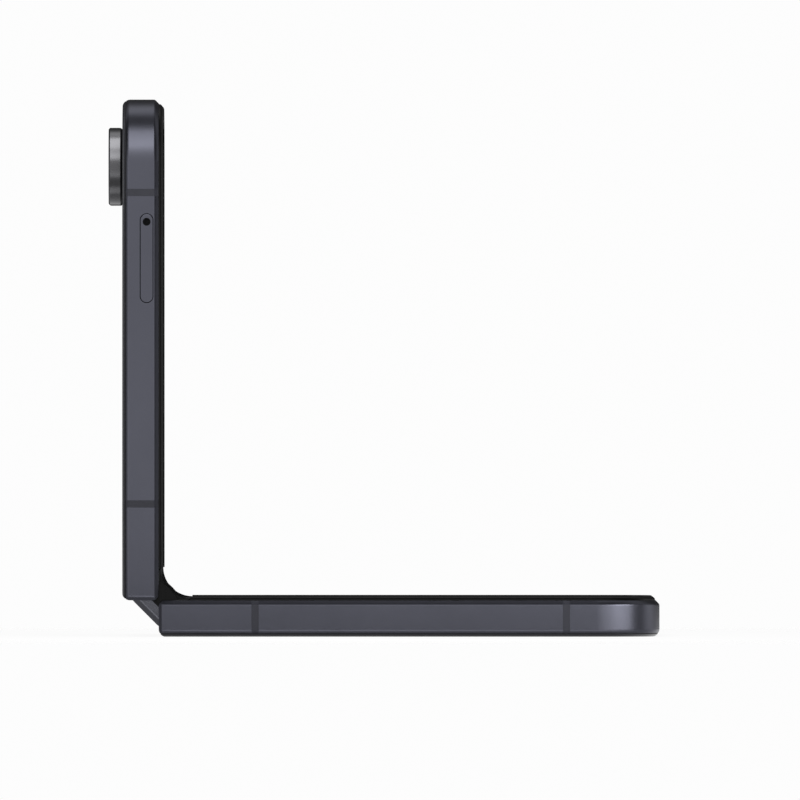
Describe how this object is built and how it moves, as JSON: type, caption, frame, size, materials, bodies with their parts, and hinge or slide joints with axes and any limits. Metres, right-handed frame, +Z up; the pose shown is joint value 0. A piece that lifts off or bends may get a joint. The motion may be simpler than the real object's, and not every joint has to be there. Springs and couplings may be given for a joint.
{
  "type": "foldable smartphone",
  "caption": "Clamshell phone with a folding screen, half open at a right angle: slim metal frames, dark back glass, raised round rear cameras and a geared two-axis hinge spine.",
  "frame": {"origin": "under the middle of the whole phone, on the plane that its lower half lies on", "axes": "+X along the lower half from the fold to its free end, +Z up along the standing upper half, +Y towards the keys' side"},
  "size_m": [0.0918, 0.0756, 0.0893],
  "materials": {
    "frame_metal": "satin anodised",
    "antenna_plastic": "satin",
    "back_glass": "dark, polished",
    "rim_plastic": "fine satin black",
    "screen": "glossy, screen off",
    "cover_screen": "glossy, screen off",
    "spine_metal": "satin anodised",
    "cap_plastic": "matte black",
    "hinge_steel": "brushed",
    "gear_steel": "machined",
    "screw_steel": "machined",
    "camera_metal": "turned, satin",
    "lens_glass": "polished, dark",
    "module_plastic": "matte",
    "flash_plastic": "milky lens",
    "battery_foil": "wrapped, matte",
    "board_laminate": "solder mask",
    "can_metal": "pressed",
    "port_plastic": "matte",
    "coil_copper": "lacquered wire",
    "flex_film": "amber film",
    "magnet_metal": "plated",
    "key_metal": "satin anodised"
  },
  "bodies": {
    "lower_half": {"lower_frame": "frame_metal", "lower_back_glass": "back_glass", "lower_rim": "rim_plastic", "lower_antenna_strips": "antenna_plastic", "lower_display": "screen", "lower_battery": "battery_foil", "charging_coil": "coil_copper", "sub_board": "board_laminate", "usb_port_shell": "can_metal", "usb_port_tongue": "port_plastic", "main_speaker": "module_plastic", "bottom_microphone": "can_metal", "lower_magnets": "magnet_metal", "lower_board_screws": "screw_steel", "lower_hinge_arms": "hinge_steel", "lower_hinge_shafts": "hinge_steel", "lower_hinge_gears": "gear_steel", "lower_hinge_screws": "screw_steel"},
    "lower_wing": {"lower_wing_plate": "hinge_steel"},
    "spine": {"spine_cover": "spine_metal", "fold_side_caps": "cap_plastic", "hinge_brackets": "hinge_steel", "bracket_screws": "screw_steel", "hinge_springs": "hinge_steel", "lower_fold_display": "screen", "upper_fold_display": "screen", "hinge_flex_cable": "flex_film"},
    "lower_idler": {"lower_idler_gears": "gear_steel"},
    "upper_idler": {"upper_idler_gears": "gear_steel"},
    "upper_half": {"upper_frame": "frame_metal", "upper_back_glass": "back_glass", "cover_display": "cover_screen", "camera_rings": "camera_metal", "camera_lenses": "lens_glass", "camera_modules": "module_plastic", "flash_window": "flash_plastic", "upper_rim": "rim_plastic", "upper_antenna_strips": "antenna_plastic", "upper_display": "screen", "upper_battery": "battery_foil", "main_board": "board_laminate", "shield_cans": "can_metal", "selfie_camera": "module_plastic", "earpiece_speaker": "module_plastic", "vibration_motor": "can_metal", "sim_reader": "can_metal", "key_switches": "flex_film", "upper_magnets": "magnet_metal", "upper_board_screws": "screw_steel", "upper_hinge_arms": "hinge_steel", "upper_hinge_shafts": "hinge_steel", "upper_hinge_gears": "gear_steel", "upper_hinge_screws": "screw_steel"},
    "upper_wing": {"upper_wing_plate": "hinge_steel"},
    "card_tray": {"sim_tray": "key_metal"},
    "volume_rocker": {"volume_key": "key_metal"},
    "power_button": {"power_key": "key_metal"}
  },
  "joints": [
    {"name": "lower_fold", "type": "hinge", "parent": "lower_half", "child": "spine", "pos_m": [-0.03489, -0.00022, 0.0049], "axis": [0, 1, 0], "range_deg": [-45, 45], "deforming": ["lower_fold_display", "upper_fold_display", "hinge_flex_cable"]},
    {"name": "upper_fold", "type": "hinge", "parent": "spine", "child": "upper_half", "pos_m": [-0.03842, -0.00022, 0.00843], "axis": [0, 1, 0], "range_deg": [-45, 45], "deforming": ["lower_fold_display", "upper_fold_display", "hinge_flex_cable"]},
    {"name": "lower_idler_turn", "type": "hinge", "parent": "spine", "child": "lower_idler", "pos_m": [-0.03659, -0.00022, 0.00538], "axis": [0, 1, 0], "range_deg": [-37.6, 37.6]},
    {"name": "upper_idler_turn", "type": "hinge", "parent": "spine", "child": "upper_idler", "pos_m": [-0.03795, -0.00022, 0.00674], "axis": [0, 1, 0], "range_deg": [-37.6, 37.6]},
    {"name": "lower_wing_tilt", "type": "hinge", "parent": "lower_half", "child": "lower_wing", "pos_m": [-0.03139, -0.00022, 0.00543], "axis": [0, -1, 0], "range_deg": [-6.6, 6.6]},
    {"name": "upper_wing_tilt", "type": "hinge", "parent": "upper_half", "child": "upper_wing", "pos_m": [-0.0379, -0.00022, 0.01194], "axis": [0, 1, 0], "range_deg": [-6.6, 6.6]},
    {"name": "card_tray_slide", "type": "slide", "parent": "upper_half", "child": "card_tray", "axis": [0, -1, 0], "range_m": [0, 0.0155]},
    {"name": "volume_rock", "type": "hinge", "parent": "upper_half", "child": "volume_rocker", "pos_m": [-0.03985, 0.03537, 0.05926], "axis": [1, 0, 0], "range_deg": [-1.5, 1.5], "stiffness_Nm_per_rad": 0.5},
    {"name": "power_press", "type": "slide", "parent": "upper_half", "child": "power_button", "axis": [0, -1, 0], "range_m": [0, 0.00025], "stiffness_N_per_m": 4000, "springref_m": -0.0001}
  ],
  "couplings": [
    {"joint": "upper_fold", "follows": "lower_fold", "ratio": 1},
    {"joint": "lower_idler_turn", "follows": "lower_fold", "ratio": 0.83333},
    {"joint": "upper_idler_turn", "follows": "lower_fold", "ratio": -0.83333},
    {"joint": "lower_wing_tilt", "follows": "lower_fold", "ratio": 0.14444},
    {"joint": "upper_wing_tilt", "follows": "lower_fold", "ratio": 0.14444}
  ]
}
